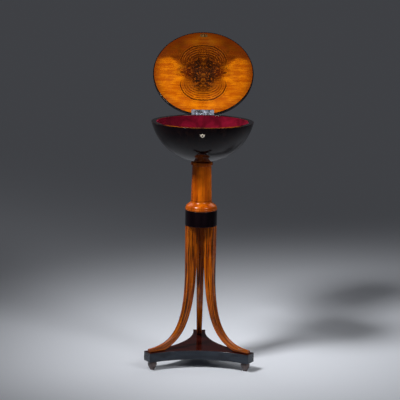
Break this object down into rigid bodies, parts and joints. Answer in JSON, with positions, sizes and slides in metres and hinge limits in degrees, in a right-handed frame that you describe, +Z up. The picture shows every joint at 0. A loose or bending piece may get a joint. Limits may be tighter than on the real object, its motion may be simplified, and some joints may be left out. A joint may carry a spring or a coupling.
{
  "type": "gueridon",
  "caption": "Round-lidded work table: hinged lid over a velvet-lined bowl with a lock, on a turned column, collar, sabre legs and a three-cornered base with bun feet.",
  "frame": {"origin": "on the floor, at the middle of the box round the table with its lid open as pictured; the column's axis is 0.10931 m in front of it", "axes": "+Z up, -Y towards the front with the keyhole, +X to the right seen from the front"},
  "size_m": [0.3344, 0.5278, 0.992],
  "materials": {
    "ebonised": "ebonised wood, french polished to a gloss",
    "velvet": "crimson silk velvet",
    "veneer": "book-matched figured walnut, glossy",
    "fruitwood": "turned fruitwood, french polished",
    "leg_wood": "walnut with dark streaks, french polished",
    "base_wood": "dark red-brown top with blackened edges, polished",
    "foot_wood": "dark stained turned wood, satin",
    "dowel": "plain beech",
    "bone": "polished cream bone",
    "steel": "aged grey steel",
    "brass": "dull brass",
    "iron": "dark iron wood screws"
  },
  "bodies": {
    "stand": {"bowl_shell": "ebonised", "velvet_lining": "velvet", "hinge_leaf_bowl": "steel", "hinge_pin": "steel", "hinge_screw_bowl_1": "steel", "hinge_screw_bowl_2": "steel", "hinge_screw_bowl_3": "steel", "lock_case": "brass", "lock_cap": "brass", "lock_screw_left": "brass", "lock_screw_right": "brass", "keyhole_escutcheon": "bone", "bowl_screw": "iron", "column_ring": "fruitwood", "column_shaft": "fruitwood", "column_foot": "fruitwood", "collar_drum": "ebonised", "leg_back": "leg_wood", "leg_front_left": "leg_wood", "leg_front_right": "leg_wood", "leg_dowel_back": "dowel", "leg_dowel_front_left": "dowel", "leg_dowel_front_right": "dowel", "leg_screw_back": "iron", "leg_screw_front_left": "iron", "leg_screw_front_right": "iron", "base_plate": "base_wood", "bun_foot_back": "foot_wood", "bun_foot_front_left": "foot_wood", "bun_foot_front_right": "foot_wood"},
    "lid": {"lid_panel": "ebonised", "lid_veneer": "veneer", "hinge_leaf_lid": "steel", "hinge_screw_lid_1": "steel", "hinge_screw_lid_2": "steel", "hinge_screw_lid_3": "steel", "lock_strike_plate": "brass", "strike_screw_left": "brass", "strike_screw_right": "brass"},
    "bolt": {"lock_bolt": "steel"}
  },
  "joints": [
    {"name": "lid_hinge", "type": "hinge", "parent": "stand", "child": "lid", "pos_m": [0, 0.04799, 0.7543], "axis": [1, 0, 0], "range_deg": [0, 131]},
    {"name": "lock_bolt_slide", "type": "slide", "parent": "stand", "child": "bolt", "axis": [1, 0, 0], "range_m": [0, 0.004]}
  ]
}
